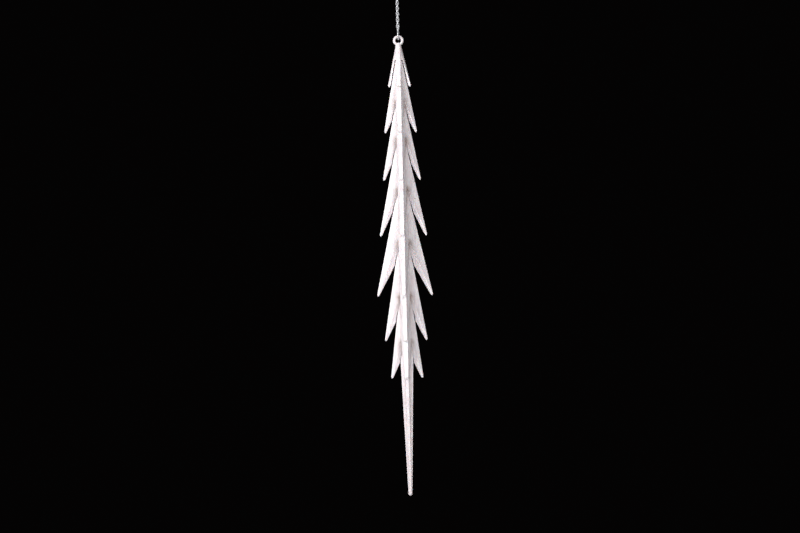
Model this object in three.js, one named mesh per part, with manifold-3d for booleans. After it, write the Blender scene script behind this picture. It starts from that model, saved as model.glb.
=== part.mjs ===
// Icicle hanging ornament.
//
// White four-bladed plastic stars are threaded on a thin spine rod, each one nested in the
// pocket under the star above it. The rod is pressed into a ring spire at the top and into a
// cross-shaped tail spike at the bottom. A doubled silver cord passes through the ring, and
// its legs are twisted together up to a knot, above which they open into a hanging loop.
//
// Millimetres, +Z up. The origin is the underside of the cord's loop at its top, where a twig
// or hook carries the ornament. Blades point along +X, -X, +Y and -Y, and the front is -Y.
// Depths are measured down from the centre of the ring.
import * as THREE from 'three';
import { ConvexGeometry } from 'three/addons/geometries/ConvexGeometry.js';
import { mergeVertices } from 'three/addons/utils/BufferGeometryUtils.js';
import Module from 'manifold-3d';

const wasm = await Module();
wasm.setup();

// ---- Driving dimensions ----

const RING_CENTRE_Z = -60; // ring centre below the top of the hanging loop
const GAP = 0.3; // clearance between a blade's edge and the pocket that it sits in
const HOLLOW = 0.8; // clearance of the pocket round the core of the piece in it

const RING = { outer: 2.35, hole: 1.2, halfThick: 0.8 };
const RING_SIDES = 40;
const RING_SECTION_SIDES = 16;

const EDGE = 0.8; // half the width of a blade's flat edges
const TIP_DROP = 0.8; // depth of a tip's blunt end
const BLADES = 4;

// Stars from the top down. Depths: top of the star, where its creases start, the notch where
// the blade's underside meets the next star, and the tip. Half widths: neck at the top, start
// of the crease, and reach of the tip. edge is half the width of the blade's edge at the top.
const STARS = [
  { top: 2.0, crease: 5.7, notch: 17.4, tip: 20.6, neck: 1.1, creaseAt: 1.15, reach: 5.0, edge: 0.45 },
  { top: 9.0, crease: 26.1, notch: 34.5, tip: 40.8, neck: 1.45, creaseAt: 2.0, reach: 7.2, edge: EDGE },
  { top: 26.1, crease: 42.8, notch: 53.1, tip: 61.8, neck: 1.7, creaseAt: 2.05, reach: 8.35, edge: EDGE },
  { top: 42.8, crease: 64.5, notch: 74.6, tip: 86.4, neck: 1.6, creaseAt: 2.1, reach: 10.4, edge: EDGE },
  { top: 64.5, crease: 88.1, notch: 98.3, tip: 112.9, neck: 1.8, creaseAt: 2.4, reach: 12.3, edge: EDGE },
  { top: 88.1, crease: 111.5, notch: 123.2, tip: 132.6, neck: 2.0, creaseAt: 2.4, reach: 9.4, edge: EDGE },
  { top: 111.5, crease: 132.1, notch: 141.6, tip: 149.2, neck: 2.4, creaseAt: 2.3, reach: 7.1, edge: EDGE },
];
const TAIL = { top: 132.1, tip: 201.0, neck: 3.1, reach: 0.83, edge: EDGE, endEdge: 0.6 };

const ROD = { radius: 0.5, holeRadius: 0.65, top: 6.5, bottom: 138.0, sides: 20 };

const STRAND = 0.7; // cord diameter
const STRAND_SIDES = 8;
const TWIST = { radius: 0.4, turns: 4, from: 4.4, top: 23.7 }; // heights above the ring centre
const BIGHT = { height: 0.55, bend: 1.5 }; // where the cord passes under the ring's rim
const SPREAD = { from: 2.5, to: 5.6 }; // the legs close up between these heights
const KNOT = { bottom: 24.0, height: 4.6, radius: 1.7 };
const KNOT_SECTION_SIDES = 20;
const KNOT_TAIL = { length: 4.2, lean: 0.55, radius: 0.35, offset: 1.0 };

// Centre line of one half of the hanging loop, from the knot to the top: x, z.
const LOOP_HALF = [
  [0.45, -31.1],
  [0.8, -29.2],
  [2.3, -25.0],
  [4.6, -19.5],
  [6.3, -13.5],
  [6.6, -8.0],
  [5.2, -3.2],
  [2.6, -0.5],
];
const LOOP_TOP = [0, STRAND / 2];

// ---- Materials ----

const whitePlastic = new THREE.MeshStandardMaterial({ color: 0xf1ece8, roughness: 0.32, metalness: 0 });
const rodSteel = new THREE.MeshStandardMaterial({ color: 0xb9bbbd, roughness: 0.3, metalness: 1 });
const silverCord = new THREE.MeshStandardMaterial({ color: 0xb4b5b8, roughness: 0.4, metalness: 0.7 });

// ---- Solids and meshes ----

// A closed geometry as a solid that can be cut and joined.
function solidFrom(geometry) {
  const bare = geometry.clone();
  bare.deleteAttribute('normal');
  bare.deleteAttribute('uv');
  const merged = mergeVertices(bare, 1e-5);
  return new wasm.Manifold(new wasm.Mesh({
    numProp: 3,
    vertProperties: new Float32Array(merged.attributes.position.array),
    triVerts: new Uint32Array(merged.index.array),
  }));
}

function geometryFrom(solid) {
  const mesh = solid.getMesh();
  const geometry = new THREE.BufferGeometry();
  geometry.setAttribute('position', new THREE.BufferAttribute(mesh.vertProperties, 3));
  geometry.setIndex(new THREE.BufferAttribute(mesh.triVerts, 1));
  geometry.computeVertexNormals();
  return geometry;
}

function namedMesh(name, geometry, material) {
  const mesh = new THREE.Mesh(geometry, material);
  mesh.name = name;
  return mesh;
}

// A round bar along Z between two depths.
function roundBar(radius, topDepth, bottomDepth, sides) {
  const length = bottomDepth - topDepth;
  const bar = new THREE.CylinderGeometry(radius, radius, length, sides);
  bar.rotateX(Math.PI / 2);
  bar.translate(0, 0, -(topDepth + bottomDepth) / 2);
  return bar;
}

// ---- Stars ----

// Half width of a star's outer edge at a depth.
function edgeReach(star, depth) {
  const share = (depth - star.top) / (star.tip - TIP_DROP - star.top);
  return star.neck + (star.reach - star.neck) * share;
}

// The point where the line from a through b reaches the axis, each { r, y, depth }.
function atAxis(a, b) {
  const t = a.r / (a.r - b.r);
  return { r: 0, y: a.y + (b.y - a.y) * t, depth: a.depth + (b.depth - a.depth) * t };
}

// One dagger-shaped blade along +X. For the pocket that it sits in, grow makes it larger all
// round, and hollow makes it thicker along the axis.
function bladeGeometry(star, below, grow, hollow) {
  const edge = star.edge + grow;
  const tipEdge = EDGE + grow;
  const reach = star.reach + grow;
  const tipOuter = { r: reach, y: tipEdge, depth: star.tip - TIP_DROP };
  const tipEnd = { r: reach - 0.3, y: tipEdge, depth: star.tip };
  const tipInner = { r: reach - 0.95, y: tipEdge, depth: star.tip - 0.55 };
  const notch = { r: edgeReach(below, star.notch), y: tipEdge, depth: star.notch };
  const crease = { r: star.creaseAt + grow, y: star.creaseAt + hollow, depth: star.crease };
  const corners = [
    { r: 0, y: star.edge + hollow, depth: star.top - grow },
    { r: star.neck + grow, y: edge, depth: star.top - grow },
    tipOuter,
    tipEnd,
    tipInner,
    crease,
    atAxis(tipEnd, crease),
    atAxis(tipInner, notch),
  ];
  const points = corners.flatMap((c) => [
    new THREE.Vector3(c.r, c.y, -c.depth),
    new THREE.Vector3(c.r, -c.y, -c.depth),
  ]);
  return new ConvexGeometry(points);
}

// Four copies of a blade around the axis, joined into one solid.
function fourBlades(bladeGeom) {
  const blade = solidFrom(bladeGeom);
  let star = blade;
  for (let i = 1; i < BLADES; i += 1) {
    star = star.add(blade.rotate([0, 0, (360 / BLADES) * i]));
  }
  return star;
}

// One fin of the tail spike along +X.
function tailFinGeometry(grow, hollow) {
  const corners = [
    { r: 0, y: TAIL.edge + hollow, depth: TAIL.top - grow },
    { r: TAIL.neck + grow, y: TAIL.edge + grow, depth: TAIL.top - grow },
    { r: TAIL.reach + grow, y: TAIL.endEdge + grow, depth: TAIL.tip - 0.5 },
    { r: 0.3, y: 0.3, depth: TAIL.tip },
    { r: 0, y: 0.3, depth: TAIL.tip },
    { r: 0, y: TAIL.endEdge + grow, depth: TAIL.tip - 0.5 },
  ];
  return new ConvexGeometry(corners.flatMap((c) => [
    new THREE.Vector3(c.r, c.y, -c.depth),
    new THREE.Vector3(c.r, -c.y, -c.depth),
  ]));
}

// The star or tail at a place in the stack, with clearances where they are given.
function stackSolid(index, grow = 0, hollow = 0) {
  if (index === STARS.length) {
    return fourBlades(tailFinGeometry(grow, hollow));
  }
  const below = STARS[index + 1] ?? TAIL;
  return fourBlades(bladeGeometry(STARS[index], below, grow, hollow));
}

// The pocket that the piece at a place in the stack sits in.
function pocketSolid(index) {
  return stackSolid(index, GAP, HOLLOW);
}

// ---- Ring ----

// A ring of oval section, its hole along Y.
function ringGeometry() {
  const middle = (RING.outer + RING.hole) / 2;
  const halfWidth = (RING.outer - RING.hole) / 2;
  const profile = [];
  for (let i = 0; i <= RING_SECTION_SIDES; i += 1) {
    const angle = (2 * Math.PI * (i % RING_SECTION_SIDES)) / RING_SECTION_SIDES;
    profile.push(new THREE.Vector2(
      middle + halfWidth * Math.cos(angle),
      RING.halfThick * Math.sin(angle),
    ));
  }
  return new THREE.LatheGeometry(profile, RING_SIDES);
}

// ---- Plastic pieces and rod ----

function ringSpire() {
  const rodHole = solidFrom(roundBar(ROD.holeRadius, ROD.top - GAP, STARS[0].tip, ROD.sides));
  const ring = solidFrom(ringGeometry());
  return stackSolid(0).subtract(stackSolid(1, GAP, GAP)).subtract(rodHole).add(ring);
}

function star(index) {
  const rodHole = solidFrom(roundBar(ROD.holeRadius, ROD.top, ROD.bottom + GAP, ROD.sides));
  return stackSolid(index).subtract(pocketSolid(index + 1)).subtract(rodHole);
}

function tailSpike() {
  const socket = solidFrom(roundBar(ROD.holeRadius, TAIL.top - GAP, ROD.bottom + GAP, ROD.sides));
  return stackSolid(STARS.length).subtract(socket);
}

// ---- Cord ----

function strandAlong(points, steps) {
  const section = new THREE.Shape();
  for (let i = 0; i < STRAND_SIDES; i += 1) {
    const angle = (2 * Math.PI * i) / STRAND_SIDES;
    const place = [(STRAND / 2) * Math.cos(angle), (STRAND / 2) * Math.sin(angle)];
    if (i === 0) section.moveTo(...place);
    else section.lineTo(...place);
  }
  section.closePath();
  const path = new THREE.CatmullRomCurve3(points, false, 'centripetal');
  return new THREE.ExtrudeGeometry(section, { steps, extrudePath: path, bevelEnabled: false });
}

// Both halves of the hanging loop, from the knot over the top and back to the knot.
function loopPoints() {
  const right = LOOP_HALF.map(([x, z]) => new THREE.Vector3(x, 0, z));
  const left = LOOP_HALF.map(([x, z]) => new THREE.Vector3(-x, 0, z));
  return [...left, new THREE.Vector3(LOOP_TOP[0], 0, LOOP_TOP[1]), ...right.reverse()];
}

// A point on one leg at a height above the ring centre. side is -1 in front and +1 behind.
function legPoint(side, height) {
  const close = THREE.MathUtils.smoothstep(height, SPREAD.from, SPREAD.to);
  const radius = THREE.MathUtils.lerp(BIGHT.bend, TWIST.radius, close);
  const rise = Math.max(0, height - TWIST.from) / (TWIST.top - TWIST.from);
  const angle = 2 * Math.PI * TWIST.turns * rise ** 1.2;
  return new THREE.Vector3(
    -side * radius * Math.sin(angle),
    side * radius * Math.cos(angle),
    RING_CENTRE_Z + height,
  );
}

// Down the front leg, through the ring under its rim, and up the back leg.
function stemPoints() {
  const legSteps = 44;
  const bendSteps = 6;
  const bendCentre = BIGHT.height + BIGHT.bend;
  const heights = [];
  for (let i = 0; i < legSteps; i += 1) {
    heights.push(THREE.MathUtils.lerp(TWIST.top, bendCentre + 0.2, i / (legSteps - 1)));
  }
  const bend = [];
  for (let i = 0; i <= bendSteps; i += 1) {
    const angle = (Math.PI * i) / bendSteps;
    bend.push(new THREE.Vector3(
      0,
      -BIGHT.bend * Math.cos(angle),
      RING_CENTRE_Z + bendCentre - BIGHT.bend * Math.sin(angle),
    ));
  }
  return [
    ...heights.map((h) => legPoint(-1, h)),
    ...bend,
    ...heights.toReversed().map((h) => legPoint(1, h)),
  ];
}

// A barrel-shaped knot with the cord's two ends standing out of it.
function knotSolid() {
  const profile = [new THREE.Vector2(0, KNOT.height / 2)];
  const rows = 8;
  for (let i = 1; i < rows; i += 1) {
    const angle = Math.PI / 2 - (Math.PI * i) / rows;
    profile.push(new THREE.Vector2(
      KNOT.radius * Math.cos(angle) ** 0.7,
      (KNOT.height / 2) * Math.sin(angle),
    ));
  }
  profile.push(new THREE.Vector2(0, -KNOT.height / 2));
  const barrel = new THREE.LatheGeometry(profile.reverse(), KNOT_SECTION_SIDES);
  barrel.rotateX(Math.PI / 2);
  let knot = solidFrom(barrel);
  for (const side of [-1, 1]) {
    const tail = new THREE.CylinderGeometry(KNOT_TAIL.radius, KNOT_TAIL.radius, KNOT_TAIL.length, 8);
    tail.rotateX(Math.PI / 2);
    tail.translate(0, 0, KNOT_TAIL.length / 2);
    tail.rotateX(-side * KNOT_TAIL.lean);
    tail.translate(0, side * KNOT_TAIL.offset, 0);
    knot = knot.add(solidFrom(tail));
  }
  return knot.translate([0, 0, RING_CENTRE_Z + KNOT.bottom + KNOT.height / 2]);
}

// ---- Assembly ----

const hanging = new THREE.Group();
hanging.add(namedMesh('cord_loop', strandAlong(loopPoints(), 44), silverCord));
hanging.add(namedMesh('cord_knot', geometryFrom(knotSolid()), silverCord));
hanging.add(namedMesh('cord_stem', strandAlong(stemPoints(), 80), silverCord));

const icicle = new THREE.Group();
icicle.position.z = RING_CENTRE_Z;
icicle.add(namedMesh('ring_spire', geometryFrom(ringSpire()), whitePlastic));
for (let i = 1; i < STARS.length; i += 1) {
  icicle.add(namedMesh(`star_${i + 1}`, geometryFrom(star(i)), whitePlastic));
}
icicle.add(namedMesh('tail_spike', geometryFrom(tailSpike()), whitePlastic));
icicle.add(namedMesh('spine_rod', roundBar(ROD.radius, ROD.top, ROD.bottom, ROD.sides), rodSteel));

const ornament = new THREE.Group();
ornament.add(hanging);
ornament.add(icicle);

export default ornament;
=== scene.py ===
"""Looks of the icicle hanging ornament: a moulded white icicle on a twisted silver cord.

Sizes are in metres, apart from the lists that say millimetres. Depths and heights are measured
down and up from the ring's centre.
"""
import math

import bmesh
import bpy
from mathutils import Matrix, Vector


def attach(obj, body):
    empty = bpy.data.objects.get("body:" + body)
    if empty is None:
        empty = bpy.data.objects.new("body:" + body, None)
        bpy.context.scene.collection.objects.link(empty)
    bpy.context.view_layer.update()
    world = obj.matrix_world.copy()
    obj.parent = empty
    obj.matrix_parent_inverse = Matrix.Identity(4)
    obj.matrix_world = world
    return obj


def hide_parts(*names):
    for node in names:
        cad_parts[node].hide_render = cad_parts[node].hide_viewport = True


MM = 0.001

# ---- Cord: places from the part's own design ----
RING_CENTRE_Z = -60.0 * MM
STRAND = 0.7 * MM  # the cord's thickness
TWIST_RADIUS = 0.4 * MM  # from the legs' shared axis to the middle of each leg
TWIST_TURNS = 4
TWIST_TIGHTENS = 1.2  # above 1, so the turns come closer together towards the knot
TWIST_FROM = 4.4 * MM  # height where the legs start to twist
LEGS_TOP = 23.7 * MM
BIGHT_HEIGHT = 0.55 * MM  # height of the cord's centre line at its lowest, under the ring's rim
BIGHT_BEND = 1.5 * MM
SPREAD_FROM = 2.5 * MM  # the legs close up between these two heights
SPREAD_TO = 5.6 * MM
KNOT_BOTTOM = 24.0 * MM
KNOT_HEIGHT = 4.6 * MM
KNOT_RADIUS = 1.7 * MM

# Centre line of one half of the hanging loop, from the knot to the top: x, z in millimetres.
LOOP_HALF = [
    (0.45, -31.1),
    (0.8, -29.2),
    (2.3, -25.0),
    (4.6, -19.5),
    (6.3, -13.5),
    (6.6, -8.0),
    (5.2, -3.2),
    (2.6, -0.5),
]
LOOP_TOP_Z = 0.35 * MM

# ---- Cord: detail ----
LINE_STEP = 0.16 * MM  # between the points of every centre line
CURVE_STEPS = 24  # in each span of the loop, and round the bight
LEG_STEPS = 240
STRAND_SIDES = 24
YARNS = 3  # lobes in the strand's section
YARN_DEPTH = 0.12  # how much of the strand's radius the lobes take up
YARN_PITCH = 1.5 * MM
KNOT_WRAPS = 4.5
KNOT_STEPS = 120
KNOT_SPAN_STEPS = 6
KNOT_BARREL = 0.18  # how much of its radius the knot loses at its ends
KNOT_FILL = 0.86  # how much of the knot's height the wraps take up
# The knot's two ends, from the middle of the knot: x, y, z in millimetres.
KNOT_FRONT_END = [(0.2, -3.1, 3.6), (0, -2.3, 2.2)]
KNOT_BACK_END = [(0.5, 2.0, -0.9), (0.3, 2.5, 1.2), (0.2, 3.1, 3.4)]
CORE_INSET = 0.05 * MM  # how far above the knot's bottom its two inner strands start
CORE_LENGTH = KNOT_HEIGHT + 0.2 * MM
CORE_LOW_X = 0.42 * MM
CORE_HIGH_X = 0.45 * MM

# ---- Camera ----
CAMERA_DISTANCE = 1.2
CAMERA_AZIMUTH = math.radians(2.5)
CAMERA_ROLL = math.radians(1.56)
SENSOR_WIDTH = 36.0  # millimetres
VIEW_WIDTH = 0.3534  # what the frame's width takes in at the ornament
AIM_DEPTH = 0.0998  # how far below the ring's centre the view's middle lies
AIM_LEFT = 0.00193  # how far left of the icicle's axis the view's middle lies

# ---- Stage ----
FLOOR_HALF = 2.0
FLOOR_Z = -0.75
ROOM_COLOUR = (0.0012, 0.001, 0.001, 1)
WHITE_LIGHT = (1, 1, 1)
# Name, direction from the icicle, distance, width and height, power, colour.
LIGHTS = [
    ("key_light", (-0.75, -0.70, 0.35), 1.0, (0.45, 0.7), 8.2, (1.0, 0.99, 0.99)),
    ("front_light", (0.05, -1.0, 0.15), 1.3, (0.35, 0.5), 9.6, WHITE_LIGHT),
    ("fill_light", (0.9, -0.5, 0.1), 1.3, (0.5, 0.8), 0.35, (1.0, 0.96, 0.98)),
    ("top_light", (0.0, 0.0, 1.0), 1.8, (2.2, 2.2), 22.0, WHITE_LIGHT),
    ("back_light", (0.5, 0.9, 0.5), 1.3, (0.8, 0.8), 2.5, WHITE_LIGHT),
    ("back_left_light", (-0.9, 0.6, 0.2), 1.3, (0.6, 0.8), 1.6, WHITE_LIGHT),
]

# ---- Plastic: shape ----
PLASTIC_NODES = [
    "ring_spire",
    "star_2",
    "star_3",
    "star_4",
    "star_5",
    "star_6",
    "star_7",
    "tail_spike",
]
WELD = 0.002 * MM  # vertices nearer than this are one
RING_CLEAR = 2.0 * MM  # the ring keeps its facets and edges down to this depth
EDGE_ROUND = 0.13 * MM
EDGE_SEGMENTS = 3
SHORTEST_EDGE = 0.25 * MM  # shorter edges aren't rounded
HOLE_CLEAR = 0.75 * MM  # nor edges nearer the axis than this, round the rod's hole,
LONG_EDGE = 3.0 * MM  # unless they are longer than this
FLAT = math.radians(1)  # facets that meet at less are one face
SHARP = math.radians(14)  # edges that turn by more are rounded
CRISP = math.radians(34)  # edges that still turn by more are shaded sharp
SHADING_WEIGHT = 60

# ---- Plastic: looks ----
PEARL_DARK = (0.83, 0.775, 0.80, 1)
PEARL_LIGHT = (0.90, 0.86, 0.875, 1)
STREAK_PINK = (0.84, 0.78, 0.81, 1)
SPECK_BROWN = (0.36, 0.27, 0.20, 1)
# Painted shade: warm brown laid into the valleys between blades, where they shadow each other
# under each tier's creases.
PAINTED_VALLEY_SHADE = (0.17, 0.075, 0.035, 1)
VALLEY_HALF = 3.0 * MM  # the painted valley shade has faded out where |x| and |y| differ by this
ICICLE_DEPTH = 201.0 * MM
# Depth, in millimetres, where each tier's creases start, and the notch below it.
CREASE_TO_NOTCH = [
    (26.1, 34.5),
    (42.8, 53.1),
    (64.5, 74.6),
    (88.1, 98.3),
    (111.5, 123.2),
    (132.1, 141.6),
]
# Where the painted shade starts and is full at each crease, as shares of the icicle's depth.
SHADE_STARTS = -0.004
SHADE_FULL = 0.006

# ---- Cord: looks ----
# Painted shade and highlight: the dark gap colour stands in for shade between filaments, the
# glint colour for small highlights.
THREAD_GAP_SHADE = (0.30, 0.30, 0.32, 1)
THREAD_BRIGHT = (0.82, 0.83, 0.86, 1)
THREAD_GLINT = (0.95, 0.95, 0.97, 1)


# ---- Small helpers ----

def lerp(a, b, t):
    return a + (b - a) * t


def smoothstep(value, low, high):
    t = min(1.0, max(0.0, (value - low) / (high - low)))
    return t * t * (3 - 2 * t)


def grey(value):
    return (value, value, value, 1.0)


def new_object(name, data):
    thing = bpy.data.objects.new(name, data)
    bpy.context.scene.collection.objects.link(thing)
    return thing


# ---- Materials ----

class Nodes:
    """A material's node tree, with short ways to add nodes and join them."""

    def __init__(self, name):
        self.material = bpy.data.materials.new(name)
        self.material.use_nodes = True
        self.tree = self.material.node_tree
        self.shader = self.tree.nodes["Principled BSDF"]

    def add(self, kind, **values):
        """A new node, with each value set on its property of that name or else on its input."""
        node = self.tree.nodes.new(kind)
        for key, value in values.items():
            if hasattr(node, key):
                setattr(node, key, value)
            else:
                node.inputs[key].default_value = value
        return node

    def join(self, output, target):
        self.tree.links.new(output, target)

    def feed(self, value, target):
        """Give an input another node's output, or a constant."""
        if isinstance(value, bpy.types.NodeSocket):
            self.join(value, target)
        else:
            target.default_value = value

    def coordinates(self):
        return self.add("ShaderNodeTexCoord").outputs["Object"]

    def drawn_out(self, place, scale_z):
        """Coordinates that make a pattern long in Z."""
        node = self.add("ShaderNodeMapping", Scale=(1.0, 1.0, scale_z))
        self.join(place, node.inputs["Vector"])
        return node.outputs["Vector"]

    def noise(self, place, scale, detail=4.0, roughness=0.6):
        node = self.add("ShaderNodeTexNoise", Scale=scale, Detail=detail, Roughness=roughness)
        self.join(place, node.inputs["Vector"])
        return node.outputs["Fac"]

    def ramp(self, value, stops):
        node = self.add("ShaderNodeValToRGB")
        elements = node.color_ramp.elements
        while len(elements) < len(stops):
            elements.new(0.5)
        for element, (position, colour) in zip(elements, stops):
            element.position = position
            element.color = colour
        self.join(value, node.inputs["Fac"])
        return node.outputs["Color"]

    def mix(self, share, first, second, blend="MIX"):
        """A colour mix: its share is input 0, its colours are 6 and 7, and its result is 2."""
        node = self.add("ShaderNodeMix", data_type="RGBA", blend_type=blend)
        self.feed(share, node.inputs[0])
        self.feed(first, node.inputs[6])
        self.feed(second, node.inputs[7])
        return node.outputs[2]

    def maths(self, operation, *values):
        node = self.add("ShaderNodeMath", operation=operation)
        for value, target in zip(values, node.inputs):
            self.feed(value, target)
        return node.outputs[0]

    def bump(self, height, strength, distance, normal=None):
        node = self.add("ShaderNodeBump", Strength=strength, Distance=distance)
        self.join(height, node.inputs["Height"])
        if normal is not None:
            self.join(normal, node.inputs["Normal"])
        return node.outputs["Normal"]

    def surface(self, colour, roughness, normal, constants):
        """Join the shader's three textured inputs and set its constant ones."""
        self.join(colour, self.shader.inputs["Base Color"])
        self.join(roughness, self.shader.inputs["Roughness"])
        self.join(normal, self.shader.inputs["Normal"])
        for key, value in constants.items():
            self.shader.inputs[key].default_value = value
        return self.material


def valley_shade(n, place):
    """How much painted shade a point gets from lying deep between two blades, most of all just
    under each tier's creases.
    """
    split = n.add("ShaderNodeSeparateXYZ")
    n.join(place, split.inputs[0])
    offsets = [n.maths("ABSOLUTE", split.outputs[axis]) for axis in ("X", "Y")]
    apart = n.maths("ABSOLUTE", n.maths("SUBTRACT", *offsets))
    between_stops = [(0.0, grey(1)), (0.5, grey(0.4)), (1.0, grey(0))]
    between = n.ramp(n.maths("DIVIDE", apart, VALLEY_HALF), between_stops)

    depth = n.maths("SUBTRACT", RING_CENTRE_Z, split.outputs["Z"])
    depth_stops = [(0.0, grey(0.15))]
    for crease, notch in CREASE_TO_NOTCH:
        start = crease * MM / ICICLE_DEPTH
        depth_stops.append((start + SHADE_STARTS, grey(0.2)))
        depth_stops.append((start + SHADE_FULL, grey(1)))
        depth_stops.append((notch * MM / ICICLE_DEPTH, grey(0.3)))
    along = n.ramp(n.maths("DIVIDE", depth, ICICLE_DEPTH), depth_stops)

    patchy = n.ramp(n.noise(place, 700.0), [(0.3, grey(0.45)), (0.7, grey(1))])
    shade = n.mix(1.0, between, along, blend="MULTIPLY")
    return n.mix(1.0, shade, patchy, blend="MULTIPLY")


def sparse_specks(n, place):
    """Small round specks, only where a broad noise is high."""
    cell = n.add("ShaderNodeTexVoronoi", Scale=230.0, Randomness=1.0)
    n.join(place, cell.inputs["Vector"])
    speck = n.ramp(cell.outputs["Distance"], [(0.045, grey(1)), (0.075, grey(0))])
    rare = n.ramp(n.noise(place, 55.0, detail=1.0), [(0.52, grey(0)), (0.57, grey(1))])
    return n.mix(1.0, speck, rare, blend="MULTIPLY")


def white_plastic():
    """Satin moulded plastic: pearly white, slightly clouded, with specks and painted brown shade
    in the valleys between blades.
    """
    n = Nodes("white_plastic")
    place = n.coordinates()
    cloud = n.ramp(n.noise(place, 90.0), [(0.35, PEARL_DARK), (0.65, PEARL_LIGHT)])
    streak_noise = n.noise(n.drawn_out(place, 0.12), 1500.0)
    streak = n.ramp(streak_noise, [(0.35, STREAK_PINK), (0.6, grey(1))])
    streaked = n.mix(0.8, cloud, streak, blend="MULTIPLY")
    spotted = n.mix(sparse_specks(n, place), streaked, SPECK_BROWN)
    # Painted shade: the valleys between blades darkened to warm brown.
    colour = n.mix(valley_shade(n, place), spotted, PAINTED_VALLEY_SHADE)
    rough = n.ramp(n.noise(place, 420.0), [(0.3, grey(0.27)), (0.7, grey(0.40))])
    flow = n.bump(n.noise(place, 260.0, detail=2.0), 0.12, 0.2 * MM)
    grain = n.bump(n.noise(place, 2600.0), 0.10, 0.03 * MM, flow)
    return n.surface(colour, rough, grain, {
        "Subsurface Weight": 0.15,
        "Subsurface Radius": (1.0, 0.62, 0.45),
        "Subsurface Scale": 1.2 * MM,
        "Coat Weight": 0.12,
        "Coat Roughness": 0.18,
    })


def silver_cord():
    """Metallic thread: bright filaments, painted shade in the gaps between them that run round
    the strand, and painted glints.
    """
    n = Nodes("silver_cord")
    fibre = n.add(
        "ShaderNodeTexWave", bands_direction="DIAGONAL", Scale=1.0, Distortion=1.2, Detail=2.0,
    )
    n.join(n.add("ShaderNodeUVMap", uv_map="UVMap").outputs["UV"], fibre.inputs["Vector"])
    fleck = n.noise(n.coordinates(), 2400.0, detail=3.0)
    # Painted shade in the gaps between the filaments.
    tone = n.ramp(fibre.outputs["Fac"], [(0.1, THREAD_GAP_SHADE), (0.7, THREAD_BRIGHT)])
    # Painted glints: random flecks made brighter.
    glint = n.ramp(fleck, [(0.45, grey(0)), (0.7, grey(0.6))])
    colour = n.mix(glint, tone, THREAD_GLINT)
    rough = n.ramp(fleck, [(0.3, grey(0.28)), (0.7, grey(0.5))])
    ridges = n.bump(fibre.outputs["Fac"], 0.5, 0.05 * MM)
    return n.surface(colour, rough, ridges, {"Metallic": 0.8})


def rod_steel():
    """Drawn wire, with faint lines along its length."""
    n = Nodes("rod_steel")
    line = n.noise(n.drawn_out(n.coordinates(), 0.02), 9000.0, detail=2.0)
    colour = n.ramp(line, [(0.3, grey(0.45)), (0.7, grey(0.62))])
    rough = n.ramp(line, [(0.3, grey(0.22)), (0.7, grey(0.38))])
    return n.surface(colour, rough, n.bump(line, 0.2, 0.02 * MM), {"Metallic": 1.0})


def floor_paint():
    n = Nodes("floor_paint")
    tone = n.ramp(n.noise(n.coordinates(), 6.0), [(0.3, grey(0.60)), (0.7, grey(0.66))])
    n.join(tone, n.shader.inputs["Base Color"])
    n.shader.inputs["Roughness"].default_value = 0.7
    return n.material


# ---- Plastic pieces ----

def below_ring(vertices):
    return all(v.co.z < RING_CENTRE_Z - RING_CLEAR for v in vertices)


def can_be_rounded(edge):
    """Whether an edge is a sharp one that shows, not on the ring or round the rod's hole."""
    if not (edge.is_manifold and edge.is_convex and edge.calc_face_angle() > SHARP):
        return False
    length = edge.calc_length()
    off_axis = all(v.co.xy.length > HOLE_CLEAR for v in edge.verts)
    return length > SHORTEST_EDGE and below_ring(edge.verts) and (off_axis or length > LONG_EDGE)


def moulded_copy(node, material):
    """The CAD piece with its flat facets whole again and its outside edges rounded."""
    bm = bmesh.new()
    bm.from_mesh(node.data)
    bmesh.ops.remove_doubles(bm, verts=bm.verts, dist=WELD)
    bmesh.ops.dissolve_limit(
        bm,
        angle_limit=FLAT,
        verts=[v for v in bm.verts if below_ring([v])],
        edges=[e for e in bm.edges if below_ring(e.verts)],
    )
    bmesh.ops.bevel(
        bm,
        geom=[e for e in bm.edges if can_be_rounded(e)],
        offset=EDGE_ROUND,
        offset_type="OFFSET",
        segments=EDGE_SEGMENTS,
        profile=0.5,
        affect="EDGES",
        clamp_overlap=False,
        miter_outer="SHARP",
    )
    bmesh.ops.recalc_face_normals(bm, faces=bm.faces)
    for face in bm.faces:
        face.smooth = True
    name = node.name + "_moulded"
    mesh = bpy.data.meshes.new(name)
    bm.to_mesh(mesh)
    bm.free()
    mesh.set_sharp_from_angle(angle=CRISP)
    mesh.materials.append(material)
    piece = new_object(name, mesh)
    weighted = piece.modifiers.new("even_shading", "WEIGHTED_NORMAL")
    weighted.keep_sharp = True
    weighted.weight = SHADING_WEIGHT
    return piece


# ---- Cord ----

def catmull_rom(points, per_span):
    """A smooth curve through the points, sampled per_span times between each pair."""
    ends = [points[0] * 2 - points[1], *points, points[-1] * 2 - points[-2]]
    curve = []
    for p0, p1, p2, p3 in zip(ends, ends[1:], ends[2:], ends[3:]):
        t1 = (p1 - p0).length ** 0.5
        t2 = t1 + (p2 - p1).length ** 0.5
        t3 = t2 + (p3 - p2).length ** 0.5
        for i in range(per_span):
            t = lerp(t1, t2, i / per_span)
            a1 = p0.lerp(p1, t / t1)
            a2 = p1.lerp(p2, (t - t1) / (t2 - t1))
            a3 = p2.lerp(p3, (t - t2) / (t3 - t2))
            b1 = a1.lerp(a2, t / t2)
            b2 = a2.lerp(a3, (t - t1) / (t3 - t1))
            curve.append(b1.lerp(b2, (t - t1) / (t2 - t1)))
    return [*curve, points[-1]]


def even_steps(path):
    """The same line with its points about LINE_STEP apart."""
    reach = [0.0]
    for a, b in zip(path, path[1:]):
        reach.append(reach[-1] + (b - a).length)
    count = max(2, round(reach[-1] / LINE_STEP))
    even = []
    j = 0
    for i in range(count + 1):
        want = reach[-1] * i / count
        while j < len(reach) - 2 and reach[j + 1] < want:
            j += 1
        even.append(path[j].lerp(path[j + 1], (want - reach[j]) / (reach[j + 1] - reach[j])))
    return even


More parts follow.
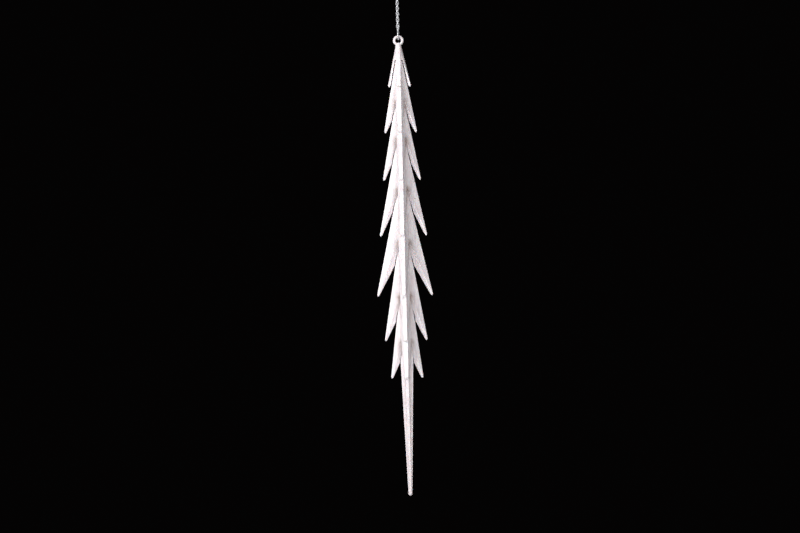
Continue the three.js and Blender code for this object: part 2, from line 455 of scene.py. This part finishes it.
def strand_rows(bm, path):
    """Rings of vertices along the path, each with its distance: a lobed section that turns."""
    tangent = (path[1] - path[0]).normalized()
    across = tangent.orthogonal().normalized()
    travelled = 0.0
    rows = []
    for i, centre in enumerate(path):
        ahead = (path[min(i + 1, len(path) - 1)] - path[max(i - 1, 0)]).normalized()
        across = (tangent.rotation_difference(ahead) @ across).normalized()
        tangent = ahead
        side = tangent.cross(across)
        if i:
            travelled += (centre - path[i - 1]).length
        lean = 2 * math.pi * travelled / YARN_PITCH
        row = []
        for k in range(STRAND_SIDES):
            angle = 2 * math.pi * k / STRAND_SIDES
            swell = math.cos(YARNS * (angle - lean))
            radius = STRAND / 2 * (1 - YARN_DEPTH + YARN_DEPTH * swell)
            out = across * math.cos(angle) + side * math.sin(angle)
            row.append(bm.verts.new(centre + out * radius))
        rows.append((row, travelled))
    return rows


def twisted_strand(name, path, material):
    """A strand of twisted yarns along the path, closed at both ends."""
    bm = bmesh.new()
    uv_layer = bm.loops.layers.uv.new("UVMap")
    rows = strand_rows(bm, path)
    for (row_a, at_a), (row_b, at_b) in zip(rows, rows[1:]):
        for k in range(STRAND_SIDES):
            after = (k + 1) % STRAND_SIDES
            face = bm.faces.new((row_a[k], row_a[after], row_b[after], row_b[k]))
            face.smooth = True
            places = ((k, at_a), (k + 1, at_a), (k + 1, at_b), (k, at_b))
            for loop, (u, v) in zip(face.loops, places):
                loop[uv_layer].uv = (u / STRAND_SIDES, v / YARN_PITCH)
    bm.faces.new(list(reversed(rows[0][0])))
    bm.faces.new(rows[-1][0])
    bmesh.ops.recalc_face_normals(bm, faces=bm.faces)
    mesh = bpy.data.meshes.new(name)
    bm.to_mesh(mesh)
    bm.free()
    mesh.materials.append(material)
    return new_object(name, mesh)


def loop_path():
    right = [Vector((x * MM, 0, z * MM)) for x, z in LOOP_HALF]
    left = [Vector((-p.x, 0, p.z)) for p in right]
    top = Vector((0, 0, LOOP_TOP_Z))
    return even_steps(catmull_rom([*left, top, *reversed(right)], CURVE_STEPS))


def leg_point(side, height):
    """A point on one leg at a height above the ring's centre: side -1 in front, +1 behind."""
    radius = lerp(BIGHT_BEND, TWIST_RADIUS, smoothstep(height, SPREAD_FROM, SPREAD_TO))
    rise = max(0.0, height - TWIST_FROM) / (LEGS_TOP - TWIST_FROM)
    angle = 2 * math.pi * TWIST_TURNS * rise ** TWIST_TIGHTENS
    x = -side * radius * math.sin(angle)
    y = side * radius * math.cos(angle)
    return Vector((x, y, RING_CENTRE_Z + height))


def legs_path():
    """Down the front leg, through the ring under its rim, and up the back leg."""
    bend_centre = BIGHT_HEIGHT + BIGHT_BEND
    heights = [lerp(LEGS_TOP, bend_centre, i / LEG_STEPS) for i in range(LEG_STEPS)]
    bend = []
    for i in range(CURVE_STEPS + 1):
        angle = math.pi * i / CURVE_STEPS
        y = -BIGHT_BEND * math.cos(angle)
        z = RING_CENTRE_Z + bend_centre - BIGHT_BEND * math.sin(angle)
        bend.append(Vector((0, y, z)))
    front = [leg_point(-1, h) for h in heights]
    back = [leg_point(1, h) for h in reversed(heights)]
    return even_steps([*front, *bend, *back])


def knot_path():
    """Cord wound round the legs in a barrel, its two ends standing out at the front and back."""
    middle = Vector((0, 0, RING_CENTRE_Z + KNOT_BOTTOM + KNOT_HEIGHT / 2))
    barrel = []
    for i in range(KNOT_STEPS + 1):
        t = i / KNOT_STEPS
        angle = -math.pi / 2 + 2 * math.pi * KNOT_WRAPS * t
        swell = 1 - KNOT_BARREL + KNOT_BARREL * math.sin(math.pi * t)
        radius = (KNOT_RADIUS - STRAND / 2) * swell
        z = (0.5 - t) * (KNOT_HEIGHT - STRAND) * KNOT_FILL
        barrel.append(middle + Vector((radius * math.cos(angle), radius * math.sin(angle), z)))
    front_end = [middle + Vector(point) * MM for point in KNOT_FRONT_END]
    back_end = [middle + Vector(point) * MM for point in KNOT_BACK_END]
    return even_steps(catmull_rom([*front_end, *barrel, *back_end], KNOT_SPAN_STEPS))


def knot_core_path(side):
    """One of the two strands that pass up through the knot: side -1 is left, +1 right."""
    low = RING_CENTRE_Z + KNOT_BOTTOM + CORE_INSET
    start = Vector((side * CORE_LOW_X, 0, low))
    end = Vector((side * CORE_HIGH_X, 0, low + CORE_LENGTH))
    return even_steps([start, end])


# ---- Stage ----

def view_middle():
    return Vector((0, 0, RING_CENTRE_Z - AIM_DEPTH))


def place_camera():
    forward = Vector((-math.sin(CAMERA_AZIMUTH), math.cos(CAMERA_AZIMUTH), 0))
    level = Vector((math.cos(CAMERA_AZIMUTH), math.sin(CAMERA_AZIMUTH), 0))
    up = Vector((0, 0, 1))
    right = level * math.cos(CAMERA_ROLL) - up * math.sin(CAMERA_ROLL)
    top = level * math.sin(CAMERA_ROLL) + up * math.cos(CAMERA_ROLL)
    aim = view_middle() - right * AIM_LEFT
    camera = new_object("camera", bpy.data.cameras.new("camera"))
    camera.data.sensor_width = SENSOR_WIDTH
    camera.data.lens = SENSOR_WIDTH * CAMERA_DISTANCE / VIEW_WIDTH
    turn = Matrix((right, top, -forward)).transposed()
    camera.matrix_world = Matrix.Translation(aim - forward * CAMERA_DISTANCE) @ turn.to_4x4()
    bpy.context.scene.camera = camera


def soft_light(name, direction, distance, size, power, colour):
    """A rectangular light that faces the middle of the icicle."""
    back = Vector(direction).normalized()
    data = bpy.data.lights.new(name, "AREA")
    data.shape = "RECTANGLE"
    data.size, data.size_y = size
    data.energy = power
    data.color = colour
    light = new_object(name, data)
    light.location = view_middle() + back * distance
    light.rotation_mode = "QUATERNION"
    light.rotation_quaternion = back.to_track_quat("Z", "Y")


def build_floor():
    signs = [(-1, -1), (1, -1), (1, 1), (-1, 1)]
    corners = [(x * FLOOR_HALF, y * FLOOR_HALF, FLOOR_Z) for x, y in signs]
    mesh = bpy.data.meshes.new("floor")
    mesh.from_pydata(corners, [], [(0, 1, 2, 3)])
    mesh.materials.append(floor_paint())
    new_object("floor", mesh)


def darken_room():
    """A nearly black room, seen through Blender's Standard view transform."""
    world = bpy.data.worlds.new("studio")
    world.use_nodes = True
    world.node_tree.nodes["Background"].inputs["Color"].default_value = ROOM_COLOUR
    bpy.context.scene.world = world
    bpy.context.scene.view_settings.view_transform = "Standard"


def build_stage():
    place_camera()
    build_floor()
    darken_room()
    for light in LIGHTS:
        soft_light(*light)


# ---- Assembly ----

def build_cord():
    silver = silver_cord()
    loop_line = loop_path()
    loop = twisted_strand("hanging_loop_cord", loop_line, silver)
    knot = twisted_strand("knot_wraps", knot_path(), silver)
    cores = [
        twisted_strand("knot_core_left", knot_core_path(-1), silver),
        twisted_strand("knot_core_right", knot_core_path(1), silver),
    ]
    legs_line = legs_path()
    legs = twisted_strand("twisted_legs_cord", legs_line, silver)
    for piece in (loop, knot, *cores):
        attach(piece, "hanging_loop")
    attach(legs, "cord_legs")
    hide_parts("cord_loop")
    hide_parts("cord_knot")
    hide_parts("cord_stem")


def build_icicle(nodes):
    plastic = white_plastic()
    for name in PLASTIC_NODES:
        piece = moulded_copy(nodes[name], plastic)
        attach(piece, "icicle")
        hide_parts(name)
    nodes["spine_rod"].data.materials[0] = rod_steel()


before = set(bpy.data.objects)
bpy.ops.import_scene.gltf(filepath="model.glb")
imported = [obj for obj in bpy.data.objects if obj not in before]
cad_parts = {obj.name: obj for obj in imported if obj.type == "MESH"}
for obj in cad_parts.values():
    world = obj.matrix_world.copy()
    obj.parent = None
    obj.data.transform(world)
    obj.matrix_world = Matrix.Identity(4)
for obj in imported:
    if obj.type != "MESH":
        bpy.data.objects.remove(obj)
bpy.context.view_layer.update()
build_stage()
build_cord()
build_icicle(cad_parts)
